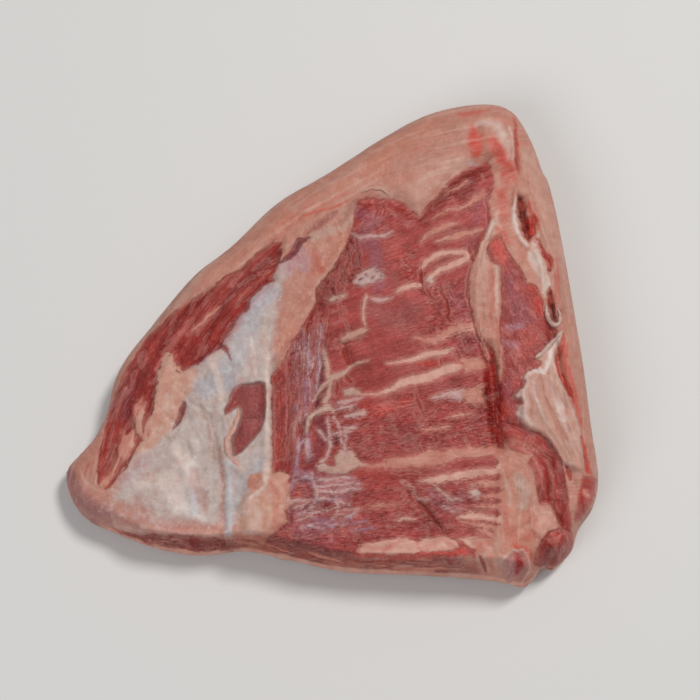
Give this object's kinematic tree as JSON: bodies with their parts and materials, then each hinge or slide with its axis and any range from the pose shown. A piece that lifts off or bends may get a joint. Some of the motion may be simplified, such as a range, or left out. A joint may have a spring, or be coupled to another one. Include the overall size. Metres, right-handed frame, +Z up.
{
  "type": "raw beef rump cap",
  "caption": "Raw rump cap of beef lying on its fat side, a rounded triangular slab with silverskin, fat seams and a thick fat layer.",
  "frame": {"origin": "middle of the box in plan, on the flat underside that the piece rests on", "axes": "+Z up, out of the lean side; +X towards the thick end with the two long sides' corner; +Y away from the long cut side"},
  "size_m": [0.278, 0.2629, 0.0489],
  "materials": {
    "lean_meat": "moist raw beef muscle with silverskin and fat seams",
    "fat_cap": "soft pinkish cream beef fat, slightly moist"
  },
  "bodies": {
    "root": {"lean_meat": "lean_meat", "fat_cap": "fat_cap"}
  },
  "joints": []
}
